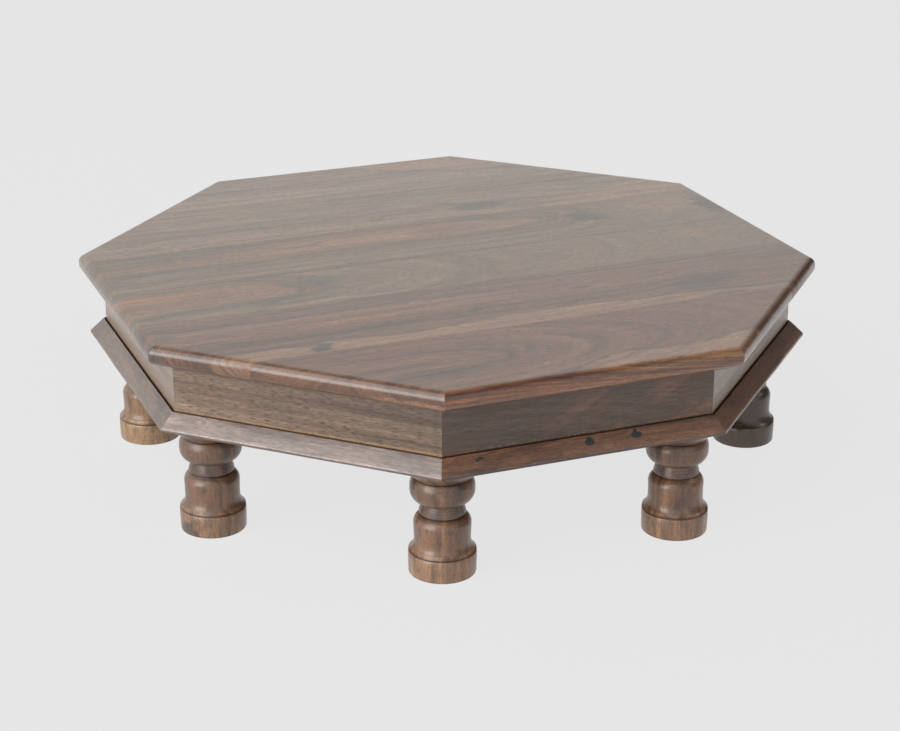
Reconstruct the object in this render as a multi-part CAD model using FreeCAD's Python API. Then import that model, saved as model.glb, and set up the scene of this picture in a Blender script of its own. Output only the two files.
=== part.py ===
import FreeCAD, Part
import math
import os

V = FreeCAD.Vector

# Bajot: a low octagonal table of solid rosewood on eight turned legs.
# All lengths are millimetres. +Z is up and the origin is on the floor, under
# the middle of the top. The planks of the top run along X.
# Side 1 faces -Y, and the sides and corners count up anticlockwise, seen from
# above. Corner 1 is where side 8 meets side 1.

# Overall sizes
side_count = 8
first_side_angle = -90.0
across_flats = 610.0
table_height = 175.0
leg_height = 100.0
overrun = 20.0

# Top, with a bullnose edge
top_thickness = 17.0
top_edge_round = 6.0
top_lower_round = 7.5
# The octagon is sawn by hand: how far corners lie from the true ones, in plan
top_corner_shifts = {1: (3.0, 0.0), 2: (7.0, 0.0), 8: (-1.1, 1.1)}
# Joint lines between the planks, as shares of half the width, from side 1 on
plank_joint_shares = (-0.62, -0.256, 0.013, 0.328, 0.646)

# Apron
top_overhang = 20.0
apron_thickness = 16.0
apron_arris = 0.8

# Skirt strip, nailed round the foot of the apron
skirt_height = 14.2
skirt_stand_out = 13.6
skirt_land = 2.3
skirt_gap = 2.0
skirt_gap_depth = 5.0

# Skirt nails and the filler over their heads
nail_length = 18.0
nail_radius = 0.9
nail_head_radius = 1.5
nail_head_thickness = 0.9
nail_point = 1.8
nail_height = 10.2
filler_radius = 2.3
filler_depth = 1.4
# Where the nails stand along a strip, as shares of the side from its first end
skirt_nail_shares = (0.123, 0.522, 0.696)

# Leg, from the floor up
leg_inset = 35.0
foot_radius = 27.8
foot_taper = 0.3
foot_chamfer = 1.0
foot_height = 19.0
groove_width = 1.2
groove_depth = 0.9
flare_step = 0.4
flare_round = 12.0
waist_radius = 22.9
body_radius = 23.4
body_height = 43.0
shoulder_round = 9.0
shoulder_top_radius = 18.8
band_radius = 19.2
neck_radius = 16.9
neck_height = 61.3
bulb_radius = 26.2
bulb_lower_round = 10.8
bulb_straight = 3.0
bulb_upper_round = 13.5
bulb_top_radius = 23.2
collar_foot_radius = 24.8
collar_cone_height = 7.8
collar_radius = 31.0
tenon_radius = 11.0
tenon_chamfer = 1.5

# Corner block and the pin through the tenon
block_half_width = 32.0
block_behind_leg = 30.0
bore_end_wall = 11.5
tenon_clearance = 0.1
tenon_end_gap = 1.0
pin_radius = 2.5
pin_end_wall = 4.0
# Height of the pin, as a share of the tenon's length
pin_height_share = 0.4

# Glue block in the middle of each apron board
glue_block_depth = 20.0
glue_block_half_width = 30.0
glue_block_height = 25.0
glue_screw_spread = 14.0

# Battens under the top
batten_spacing = 140.0
batten_width = 40.0
batten_thickness = 16.0
batten_end_gap = 4.0

# Wood screws with countersunk heads
screw_radius = 2.0
screw_head_radius = 4.0
screw_head_height = 2.6
screw_point = 4.0
hole_clearance = 0.05
screw_bite = 10.0
corner_screw_length = 45.0
corner_screw_bite = 12.0
corner_screw_setback = 26.5
# Height of the corner screws, as a share of the apron's height
corner_screw_height_share = 0.66

# Worked out from the sizes above
half_side_angle = 180.0 / side_count
half_side = math.radians(half_side_angle)
top_apothem = across_flats / 2
top_underside = table_height - top_thickness
apron_height = top_underside - leg_height
bore_depth = apron_height - bore_end_wall
tenon_length = bore_depth - tenon_end_gap
apron_apothem = top_apothem - top_overhang
inner_apothem = apron_apothem - apron_thickness
inner_corner = inner_apothem / math.cos(half_side)
leg_circle = apron_apothem / math.cos(half_side) - leg_inset
glue_block_face = inner_apothem - glue_block_depth
apron_side_length = 2 * apron_apothem * math.tan(half_side)


def side_angle(side):
    """Direction in which a side faces, in degrees."""
    return first_side_angle + 2 * half_side_angle * (side - 1)


def corner_angle(corner):
    """Direction of a corner from the middle, in degrees."""
    return side_angle(corner) - half_side_angle


def turned(shape, angle):
    """Copy of a shape, turned about the table's upright axis."""
    copy = shape.copy()
    copy.rotate(V(0, 0, 0), V(0, 0, 1), angle)
    return copy


def box(x0, x1, y0, y1, z0, z1):
    """Box between the two ends given on each axis."""
    return Part.makeBox(x1 - x0, y1 - y0, z1 - z0, V(x0, y0, z0))


def prism(outline, z0, z1):
    """Upright prism over a plan outline of (x, y) points."""
    points = [V(x, y, z0) for x, y in outline]
    face = Part.Face(Part.makePolygon(points + points[:1]))
    return face.extrude(V(0, 0, z1 - z0))


def mitred(section):
    """Length of board for a side that faces +X, mitred at both corners.

    The section is a list of (distance from the middle, height) points.
    """
    reach = max(x for x, z in section) + overrun
    low = min(z for x, z in section) - overrun
    high = max(z for x, z in section) + overrun
    half = reach * math.tan(half_side)
    points = [V(x, -half, z) for x, z in section]
    face = Part.Face(Part.makePolygon(points + points[:1]))
    stick = face.extrude(V(0, 2 * half, 0))
    wedge = prism([(0, 0), (reach, -half), (reach, half)], low, high)
    return stick.common(wedge)


def revolved(edges, axis_point, axis):
    """Solid of revolution of a closed outline of edges."""
    face = Part.Face(Part.Wire(edges))
    return face.revolve(axis_point, axis, 360)


def screw(length, clearance=0.0):
    """Wood screw along +Z from the flat of its head at zero to its point."""
    head = screw_head_radius + clearance
    shank = screw_radius + clearance
    outline = [
        V(0, 0, 0),
        V(head, 0, 0),
        V(shank, 0, screw_head_height),
        V(shank, 0, length - screw_point),
        V(0, 0, length),
        V(0, 0, 0),
    ]
    face = Part.Face(Part.makePolygon(outline))
    return face.revolve(V(0, 0, 0), V(0, 0, 1), 360)


def nail(clearance=0.0):
    """Wire nail along -X from the flat of its head at zero to its point."""
    head = nail_head_radius + clearance
    shank = nail_radius + clearance
    outline = [
        V(0, 0, 0),
        V(0, 0, head),
        V(-nail_head_thickness, 0, head),
        V(-nail_head_thickness, 0, shank),
        V(nail_point - nail_length, 0, shank),
        V(-nail_length, 0, 0),
        V(0, 0, 0),
    ]
    face = Part.Face(Part.makePolygon(outline))
    return face.revolve(V(0, 0, 0), V(1, 0, 0), 360)


def placed(shape, x, y, z):
    """Copy of a shape, moved by the lengths given."""
    copy = shape.copy()
    copy.translate(V(x, y, z))
    return copy


def pointing_out(shape):
    """Copy of a shape that lay along +Z, turned to lie along +X."""
    copy = shape.copy()
    copy.rotate(V(0, 0, 0), V(0, 1, 0), 90)
    return copy


# Top: one octagonal board with its edge worked, then cut into planks
def make_top():
    radius = top_apothem / math.cos(half_side)
    corners = []
    for corner in range(1, side_count + 1):
        angle = math.radians(corner_angle(corner))
        dx, dy = top_corner_shifts.get(corner, (0, 0))
        x = radius * math.cos(angle) + dx
        y = radius * math.sin(angle) + dy
        corners.append((x, y))
    board = prism(corners, top_underside, table_height)

    def edges_at(shape, height):
        found = []
        for edge in shape.Edges:
            heights = [vertex.Z for vertex in edge.Vertexes]
            if max(abs(z - height) for z in heights) < top_edge_round / 2:
                found.append(edge)
        return found

    board = board.makeFillet(top_edge_round, edges_at(board, table_height))
    return board.makeFillet(top_lower_round, edges_at(board, top_underside))


def plank_edges():
    """The lines along which the top is cut, from side 1 to its opposite."""
    inner = [share * top_apothem for share in plank_joint_shares]
    return [-top_apothem] + inner + [top_apothem]


# Leg: the turner's outline, as (radius, height) points joined by lines and
# round stretches, with the tenon in one piece with it
def make_leg():
    def at(radius, height):
        return V(radius, 0, height)

    def rise(round_radius, offset):
        """Height from the middle of a round stretch to a point on it."""
        return math.sqrt(round_radius**2 - offset**2)

    edges = []

    def line_to(start, end):
        edges.append(Part.LineSegment(start, end).toShape())
        return end

    def arc_to(start, centre, radius, end):
        middle = start + end - centre * 2
        middle.normalize()
        edges.append(Part.Arc(start, centre + middle * radius, end).toShape())
        return end

    def groove_to(start, end_radius):
        """V groove from a point up to the next member of the turning."""
        bottom_radius = min(start.x, end_radius) - groove_depth
        bottom = at(bottom_radius, start.z + groove_width / 2)
        line_to(start, bottom)
        return line_to(bottom, at(end_radius, start.z + groove_width))

    base_radius = foot_radius - foot_taper
    point = line_to(at(0, 0), at(base_radius - foot_chamfer, 0))
    point = line_to(point, at(base_radius, foot_chamfer))
    point = line_to(point, at(foot_radius, foot_height))
    point = groove_to(point, foot_radius - flare_step)

    offset = point.x - waist_radius - flare_round
    waist_height = point.z + rise(flare_round, offset)
    centre = at(waist_radius + flare_round, waist_height)
    point = arc_to(point, centre, flare_round, at(waist_radius, waist_height))
    point = line_to(point, at(body_radius, body_height))

    centre = at(body_radius - shoulder_round, body_height)
    shoulder_rise = rise(shoulder_round, shoulder_top_radius - centre.x)
    end = at(shoulder_top_radius, body_height + shoulder_rise)
    point = arc_to(point, centre, shoulder_round, end)
    point = groove_to(point, band_radius)
    point = line_to(point, at(neck_radius, neck_height))

    centre_radius = bulb_radius - bulb_lower_round
    widest = neck_height + rise(bulb_lower_round, neck_radius - centre_radius)
    centre = at(centre_radius, widest)
    point = arc_to(point, centre, bulb_lower_round, at(bulb_radius, widest))
    point = line_to(point, at(bulb_radius, widest + bulb_straight))
    centre = at(bulb_radius - bulb_upper_round, widest + bulb_straight)
    bulb_rise = rise(bulb_upper_round, bulb_top_radius - centre.x)
    end = at(bulb_top_radius, centre.z + bulb_rise)
    point = arc_to(point, centre, bulb_upper_round, end)

    point = groove_to(point, collar_foot_radius)
    point = line_to(point, at(collar_radius, point.z + collar_cone_height))
    point = line_to(point, at(collar_radius, leg_height))
    point = line_to(point, at(tenon_radius, leg_height))
    tenon_top = leg_height + tenon_length
    point = line_to(point, at(tenon_radius, tenon_top - tenon_chamfer))
    point = line_to(point, at(tenon_radius - tenon_chamfer, tenon_top))
    point = line_to(point, at(0, tenon_top))
    line_to(point, at(0, 0))

    leg = revolved(edges, V(0, 0, 0), V(0, 0, 1))
    leg.translate(V(leg_circle, 0, 0))
    return leg


# Pin that holds the tenon in its block, for a corner that lies along +X
def make_pin(clearance=0.0):
    start = leg_circle - block_behind_leg
    length = inner_corner - pin_end_wall - start
    height = leg_height + pin_height_share * tenon_length
    radius = pin_radius + clearance
    return Part.makeCylinder(radius, length, V(start, 0, height), V(1, 0, 0))


# Corner block for a corner that lies along +X, bored for the tenon
def make_corner_block():
    shoulder = inner_corner - block_half_width * math.tan(half_side)
    back = leg_circle - block_behind_leg
    outline = [
        (inner_corner, 0),
        (shoulder, block_half_width),
        (back, block_half_width),
        (back, -block_half_width),
        (shoulder, -block_half_width),
    ]
    block = prism(outline, leg_height, top_underside)
    bore = Part.makeCylinder(
        tenon_radius + tenon_clearance,
        bore_depth + overrun,
        V(leg_circle, 0, leg_height - overrun),
    )
    return block.cut([bore, make_pin(hole_clearance)])


# Screws from the corner blocks into one apron board, for a side facing +X
def make_corner_screws(clearance=0.0, counterbore=0.0):
    setback = inner_corner * math.sin(half_side) - corner_screw_setback
    head = inner_apothem + corner_screw_bite - corner_screw_length
    height = leg_height + corner_screw_height_share * apron_height
    screws = []
    for hand in (-1, 1):
        one = pointing_out(screw(corner_screw_length, clearance))
        screws.append(placed(one, head, hand * setback, height))
        if counterbore:
            middle = V(head - counterbore, hand * setback, height)
            well_radius = screw_head_radius + clearance
            screws.append(
                Part.makeCylinder(well_radius, counterbore, middle, V(1, 0, 0))
            )
    return screws


# Apron board for a side facing +X
def make_apron_board():
    section = [
        (inner_apothem, leg_height),
        (apron_apothem, leg_height),
        (apron_apothem, top_underside),
        (inner_apothem, top_underside),
    ]
    board = mitred(section)
    outer_corner = apron_apothem / math.cos(half_side)
    arrises = []
    for edge in board.Edges:
        ends = [math.hypot(vertex.X, vertex.Y) for vertex in edge.Vertexes]
        if min(ends) > outer_corner - apron_arris:
            upright = abs(edge.Vertexes[0].Z - edge.Vertexes[1].Z)
            if upright > apron_arris:
                arrises.append(edge)
    return board.makeChamfer(apron_arris, arrises)


# Skirt strip for a side facing +X: bevelled face, narrow land at its foot,
# and a back that leans away from the apron at the top
def make_skirt_strip():
    section = [
        (apron_apothem, leg_height),
        (apron_apothem + skirt_stand_out, leg_height),
        (apron_apothem + skirt_stand_out, leg_height + skirt_land),
        (apron_apothem + skirt_gap, leg_height + skirt_height),
        (apron_apothem, leg_height + skirt_height - skirt_gap_depth),
    ]
    return mitred(section)


# How far a skirt strip stands out from the apron at the height of its nails
def skirt_reach_at_nail():
    fall = (skirt_height - nail_height) / (skirt_height - skirt_land)
    return skirt_gap + fall * (skirt_stand_out - skirt_gap)


def nail_places():
    """Places of the nails along a side, from its middle."""
    return [(share - 0.5) * apron_side_length for share in skirt_nail_shares]


def make_skirt_nails(clearance=0.0):
    head = apron_apothem + skirt_reach_at_nail() - filler_depth
    height = leg_height + nail_height
    return [placed(nail(clearance), head, y, height) for y in nail_places()]


# Plugs of filler: each fills the hole over a nail's head, flush with the bevel
def make_filler_wells():
    head = apron_apothem + skirt_reach_at_nail() - filler_depth
    height = leg_height + nail_height
    wells = []
    for y in nail_places():
        start = V(head, y, height)
        wells.append(
            Part.makeCylinder(filler_radius, skirt_stand_out, start, V(1, 0, 0))
        )
    return wells


# Glue block for a side facing +X, and the screws up through it
def make_glue_block():
    return box(
        glue_block_face,
        inner_apothem,
        -glue_block_half_width,
        glue_block_half_width,
        top_underside - glue_block_height,
        top_underside,
    )


def make_glue_screws(clearance=0.0):
    length = glue_block_height + screw_bite
    middle = inner_apothem - glue_block_depth / 2
    foot = top_underside - glue_block_height
    screws = []
    for hand in (-1, 1):
        one = screw(length, clearance)
        screws.append(placed(one, middle, hand * glue_screw_spread, foot))
    return screws


# Battens across the planks: each ends short of the glue blocks it runs towards
def batten_half_length(x):
    diagonal = math.sqrt(2) * glue_block_face - abs(x) - batten_width / 2
    return min(glue_block_face, diagonal) - batten_end_gap


def make_batten(x):
    half = batten_half_length(x)
    low = top_underside - batten_thickness
    return box(
        x - batten_width / 2, x + batten_width / 2, -half, half, low, top_underside
    )


def make_batten_screws(x, clearance=0.0):
    half = batten_half_length(x)
    cuts = plank_edges()
    screws = []
    for low, high in zip(cuts[:-1], cuts[1:]):
        low = max(low, -half)
        high = min(high, half)
        if high - low > batten_end_gap + 2 * screw_head_radius:
            one = screw(batten_thickness + screw_bite, clearance)
            foot = top_underside - batten_thickness
            screws.append(placed(one, x, (low + high) / 2, foot))
    return screws


def build():
    """Every piece of the table, as a name for each and its solids."""
    parts = {}
    sides = range(1, side_count + 1)
    batten_places = [-batten_spacing, 0, batten_spacing]

    board_screws = make_corner_screws()
    board_holes = make_corner_screws(hole_clearance)
    block_holes = make_corner_screws(hole_clearance, overrun)
    glue_screws = make_glue_screws()
    glue_holes = make_glue_screws(hole_clearance)
    nails = make_skirt_nails()
    nail_holes = make_skirt_nails(hole_clearance)
    wells = make_filler_wells()

    apron = make_apron_board().cut(board_holes + nail_holes)
    plain_strip = make_skirt_strip()
    fillers = [plain_strip.common(well) for well in wells]
    strip = plain_strip.cut(nail_holes + wells)
    glue_block = make_glue_block().cut(glue_holes)
    leg = make_leg().cut(make_pin(hole_clearance))
    pin = make_pin()

    block = make_corner_block()
    for hand in (-1, 1):
        holes = [turned(hole, hand * half_side_angle) for hole in block_holes]
        block = block.cut(holes)

    for side in sides:
        angle = side_angle(side)
        parts[f"apron_board_{side}"] = [turned(apron, angle)]
        parts[f"skirt_strip_{side}"] = [turned(strip, angle)]
        parts[f"glue_block_{side}"] = [turned(glue_block, angle)]
    for corner in sides:
        angle = corner_angle(corner)
        parts[f"leg_{corner}"] = [turned(leg, angle)]
        parts[f"corner_block_{corner}"] = [turned(block, angle)]

    top_holes = []
    batten_screws = []
    for number, x in enumerate(batten_places, 1):
        holes = make_batten_screws(x, hole_clearance)
        batten_screws += make_batten_screws(x)
        top_holes += holes
        parts[f"batten_{number}"] = [make_batten(x).cut(holes)]

    def round_the_sides(shapes):
        return [turned(s, side_angle(side)) for side in sides for s in shapes]

    top_holes += round_the_sides(glue_holes)
    board = make_top()
    cuts = plank_edges()
    for number, (low, high) in enumerate(zip(cuts[:-1], cuts[1:]), 1):
        reach = top_apothem + overrun
        slab = box(-reach, reach, low, high, 0, table_height + overrun)
        plank = board.common(slab)
        parts[f"top_plank_{number}"] = [plank.cut(top_holes)]

    parts["corner_screws"] = round_the_sides(board_screws)
    parts["batten_screws"] = batten_screws
    parts["top_screws"] = round_the_sides(glue_screws)
    parts["leg_pins"] = [turned(pin, corner_angle(corner)) for corner in sides]
    parts["skirt_nails"] = round_the_sides(nails)
    parts["nail_fillers"] = round_the_sides(fillers)
    return parts


parts = build()
os.makedirs("parts", exist_ok=True)
for name, shapes in sorted(parts.items()):
    solids = [solid for shape in shapes for solid in shape.Solids]
    if len(solids) == 1:
        whole = solids[0]
    else:
        whole = Part.makeCompound(solids)
    whole.exportStep(f"parts/{name}.step")
    valid = all(solid.isValid() for solid in solids)
    volume = sum(solid.Volume for solid in solids)
    print(f"{name}: {len(solids)} solids, valid {valid}, {volume / 1000:.1f} cm3")
print(len(parts), "nodes")
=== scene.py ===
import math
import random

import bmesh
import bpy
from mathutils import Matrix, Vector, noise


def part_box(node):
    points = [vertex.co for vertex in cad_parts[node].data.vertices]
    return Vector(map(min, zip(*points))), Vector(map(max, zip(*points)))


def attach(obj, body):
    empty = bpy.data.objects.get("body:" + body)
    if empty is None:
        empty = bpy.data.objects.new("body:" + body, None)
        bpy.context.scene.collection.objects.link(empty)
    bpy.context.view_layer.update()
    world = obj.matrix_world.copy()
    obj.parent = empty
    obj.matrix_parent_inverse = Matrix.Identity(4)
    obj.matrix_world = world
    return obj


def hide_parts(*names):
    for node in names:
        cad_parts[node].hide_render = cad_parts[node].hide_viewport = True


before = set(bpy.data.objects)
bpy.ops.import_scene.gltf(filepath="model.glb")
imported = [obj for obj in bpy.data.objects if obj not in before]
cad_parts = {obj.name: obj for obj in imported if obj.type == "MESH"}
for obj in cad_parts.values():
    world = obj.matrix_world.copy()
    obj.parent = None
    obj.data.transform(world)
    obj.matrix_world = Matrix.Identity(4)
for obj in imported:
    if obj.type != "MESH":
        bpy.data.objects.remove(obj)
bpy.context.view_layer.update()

# %% [markdown]
# # A bajot, the low octagonal table of an Indian workshop
# The table is solid sheesham, the Indian rosewood, under a clear satin polish.
# Six planks make the top, eight mitred boards the apron, and a bevelled strip
# is nailed round its foot. Eight turned legs stand under the corners.
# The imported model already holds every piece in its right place. This lesson
# gives the pieces that show their soft edges, their grain and their polish.

MM = 0.001
SIDES = 8
HALF_SIDE = math.pi / SIDES

# %% [markdown]
# ## Where the sizes come from
# A piece that stands for a packed one must lie exactly where that one lies, so
# its size is read from the frame. Only what the frame can't tell, such as the
# radius of a softened edge, is written here, in millimetres.

# %% Sizes read from the frame
def low_corner(node):
    """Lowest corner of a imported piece, in millimetres."""
    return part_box(node)[0] / MM


def high_corner(node):
    """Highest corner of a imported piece, in millimetres."""
    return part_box(node)[1] / MM


TOP_HEIGHT = high_corner("top_plank_1").z
TOP_UNDERSIDE = low_corner("top_plank_1").z
TOP_APOTHEM = -low_corner("top_plank_1").y
APRON_FOOT = low_corner("apron_board_1").z
APRON_APOTHEM = -low_corner("apron_board_1").y
APRON_INNER = -high_corner("apron_board_1").y
STRIP_TOP = high_corner("skirt_strip_1").z
STRIP_APOTHEM = -low_corner("skirt_strip_1").y
LEG_HEIGHT = APRON_FOOT
TENON_TOP = high_corner("leg_1").z
print(f"top {2 * TOP_APOTHEM:.0f} mm across and {TOP_HEIGHT:.1f} mm high")
print(f"apron {2 * APRON_APOTHEM:.0f} mm across, legs {LEG_HEIGHT:.0f} mm high")

# %% [markdown]
# ## The camera
# The camera stands where the photographer stood: a long lens, about two metres
# away and 21 degrees above the table, looking at the front corner. It comes
# first, because every finish is judged through it.

# %% Camera
CAMERA_PLACE = (-681.5, -1699.5, 788.1)
CAMERA_LOOK = (0.3480, 0.8633, -0.3655)
CAMERA_ROLL = 0.0012
LENS = 86.17
SENSOR = 36.0


def new_object(data):
    """An object that shows a mesh, lamp or camera, linked into the scene."""
    new = bpy.data.objects.new(data.name, data)
    bpy.context.scene.collection.objects.link(new)
    return new


def aimed(place, direction):
    """Matrix of a camera or lamp at a place, in millimetres, that looks in a direction."""
    turn = Vector(direction).to_track_quat("-Z", "Y").to_matrix().to_4x4()
    return Matrix.Translation(Vector(place) * MM) @ turn


camera_data = bpy.data.cameras.new("photographers_camera")
camera_data.lens = LENS
camera_data.sensor_width = SENSOR
camera = new_object(camera_data)
camera.matrix_world = aimed(CAMERA_PLACE, CAMERA_LOOK) @ Matrix.Rotation(CAMERA_ROLL, 4, "Z")
bpy.context.scene.camera = camera
bpy.context.scene.view_settings.view_transform = "Standard"
print("camera", [round(v, 3) for v in camera.location])

# %% [markdown]
# ## Colours and nodes
# A colour is written as the hex value that a paint chart gives. Blender works
# with linear light, so one function turns the one into the other.
# A second small function adds a node, sets it up and wires it. Every finish
# below is built with it, and closed with a third that brings it to the surface.
# Two settings come back all the time: a range that is passed smoothly, and a
# mix of two colours.

# %% Colour and node helpers
SMOOTH = {"interpolation_type": "SMOOTHSTEP"}
COLOURS = {"data_type": "RGBA"}


def linear(hex_colour):
    """Linear red, green, blue and alpha of an sRGB hex colour."""
    channels = [int(hex_colour[i : i + 2], 16) / 255 for i in (1, 3, 5)]
    return [c / 12.92 if c <= 0.04045 else ((c + 0.055) / 1.055) ** 2.4 for c in channels] + [1.0]


def add(tree, kind, *inputs, out=None, **details):
    """Add a node and return one of its outputs, the first in use if none is named.

    A second word of the kind is the operation. Values and outputs of other nodes
    go into the inputs in use, in order. A detail with a capital goes into the
    input of that name, and any other detail is a setting.
    """
    kind, _, operation = kind.partition(" ")
    node = tree.nodes.new("ShaderNode" + kind)
    if operation:
        node.operation = operation
    named = {}
    for name, value in details.items():
        if name[0].isupper():
            named[name.replace("_", " ")] = value
        else:
            setattr(node, name, value)
    filled = list(zip([socket for socket in node.inputs if socket.enabled], inputs))
    filled += [(node.inputs[name], value) for name, value in named.items()]
    for socket, value in filled:
        if isinstance(value, bpy.types.NodeSocket):
            tree.links.new(value, socket)
        else:
            socket.default_value = value
    return node.outputs[out] if out else next((socket for socket in node.outputs if socket.enabled), None)


def new_material(name):
    """An empty material and its node tree."""
    material = bpy.data.materials.new(name)
    material.use_nodes = True
    material.node_tree.nodes.clear()
    return material, material.node_tree


def close_material(tree, colour, roughness, relief, strength, depth, **details):
    """Bring a material to its surface; the relief stands out by a depth in millimetres."""
    bump = add(tree, "Bump", Height=relief, Strength=strength, Distance=depth * MM)
    surface = add(tree, "BsdfPrincipled", colour, Roughness=roughness, Normal=bump, **details)
    add(tree, "OutputMaterial", surface)


def new_mesh(name, points, faces):
    """A mesh of points, in metres, and faces."""
    mesh = bpy.data.meshes.new(name)
    mesh.from_pydata(points, [], faces)
    return mesh


# %% [markdown]
# ## Floor, air and light
# The photograph was taken in a white studio. A wide floor and a world of the
# same pale grey give that background without a horizon. Reflections see them
# as well, because a satin polish is mostly what it mirrors.
# Two soft boxes stand on the left, one above the other, like a tall window. The
# low one draws the broad bright line along the rounded edge of the top, and both
# light the left-hand sides most. A small warm one on the right only touches the
# turned legs, and beyond it the room is dark.

# %% Floor and world
BACKGROUND = "#E6E6E6"
FLOOR_HALF = 9000.0
FLOOR_PAPER = "#DADADA"
FLOOR_GLOW = "#E8E8E8"
FLOOR_OWN_LIGHT = 0.93
LOW_AIR = "#F6F6F6"
HIGH_AIR = "#606060"
HIGH_AIR_FROM, HIGH_AIR_TO = 0.55, 0.88
RIGHT_AIR = "#4A4A4A"
RIGHT_AIR_FROM, RIGHT_AIR_TO = 0.52, 0.78

corners = [Vector((x, y, 0)) * FLOOR_HALF * MM for x, y in ((-1, -1), (1, -1), (1, 1), (-1, 1))]
floor_mesh = new_mesh("studio_floor", corners, [(0, 1, 2, 3)])
floor = new_object(floor_mesh)

floor_finish, tree = new_material("studio paper")
path = add(tree, "LightPath", out="Is Camera Ray")
seen = add(tree, "Math MAXIMUM", path, path.node.outputs["Is Glossy Ray"])
share = add(tree, "Math MULTIPLY", seen, FLOOR_OWN_LIGHT)
paper = add(tree, "BsdfDiffuse", Color=linear(FLOOR_PAPER))
glow = add(tree, "Emission", Color=linear(FLOOR_GLOW), Strength=1.0)
mixed = add(tree, "MixShader", share, paper, glow)
add(tree, "OutputMaterial", mixed)
floor_mesh.materials.append(floor_finish)

world = bpy.data.worlds.new("studio air")
world.use_nodes = True
world.node_tree.nodes.clear()
tree = world.node_tree
x, y, z = add(tree, "SeparateXYZ", add(tree, "TexCoord", out="Generated")).node.outputs
upward = add(tree, "MapRange", z, HIGH_AIR_FROM, HIGH_AIR_TO, **SMOOTH)
rightward = add(tree, "MapRange", x, RIGHT_AIR_FROM, RIGHT_AIR_TO, **SMOOTH)
air = add(tree, "Mix", upward, linear(LOW_AIR), linear(HIGH_AIR), **COLOURS)
air = add(tree, "Mix", rightward, air, linear(RIGHT_AIR), **COLOURS)
path = add(tree, "LightPath", out="Is Camera Ray")
colour = add(tree, "Mix", path, air, linear(BACKGROUND), **COLOURS)
add(tree, "OutputWorld", add(tree, "Background", Color=colour, Strength=1.0))
bpy.context.scene.world = world
print(f"floor {2 * FLOOR_HALF * MM:.0f} m wide under a pale grey world")


# %% Soft boxes
def soft_box(name, place, size, watts, tint="#FFFFFF"):
    """A rectangular lamp that points at the middle of the table."""
    data = bpy.data.lights.new(name, "AREA")
    data.shape = "RECTANGLE"
    data.size, data.size_y = (length * MM for length in size)
    data.energy = watts
    data.color = linear(tint)[:3]
    new_object(data).matrix_world = aimed(place, Vector((0, 0, TOP_UNDERSIDE)) - Vector(place))
    print(f"{name}: {Vector(place).length * MM:.1f} m away, {watts} W")


soft_box("left_low_box", (-4070, -1480, 1430), (2900, 2760), 106)
soft_box("left_high_box", (-2416, -879, 3814), (4200, 2400), 70)
soft_box("right_soft_box", (2860, -1100, 2600), (900, 900), 10, "#FFF2DC")

# %% [markdown]
# ## Indian rosewood
# Sheesham is a brown wood with darker, uneven growth lines, open pores that
# show as short dark strokes, and pale sapwood at the edge of the log. Under a
# satin polish it looks deep and slightly red.
# All its boards share one recipe. It reads a place in the board in millimetres,
# with X along the grain, and a growth value: how far that place lies from the
# heart of the log. Bands and lines follow the growth value, so whoever bends
# it bends the whole figure, as a knot does.

# %% The recipe for rosewood
def drawn_noise(tree, place, pace, **detail):
    """Noise that is drawn out along each axis on which its pace per millimetre is slow."""
    place = add(tree, "VectorMath MULTIPLY", place, pace)
    return add(tree, "TexNoise", place, Scale=1.0, **detail)


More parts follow.
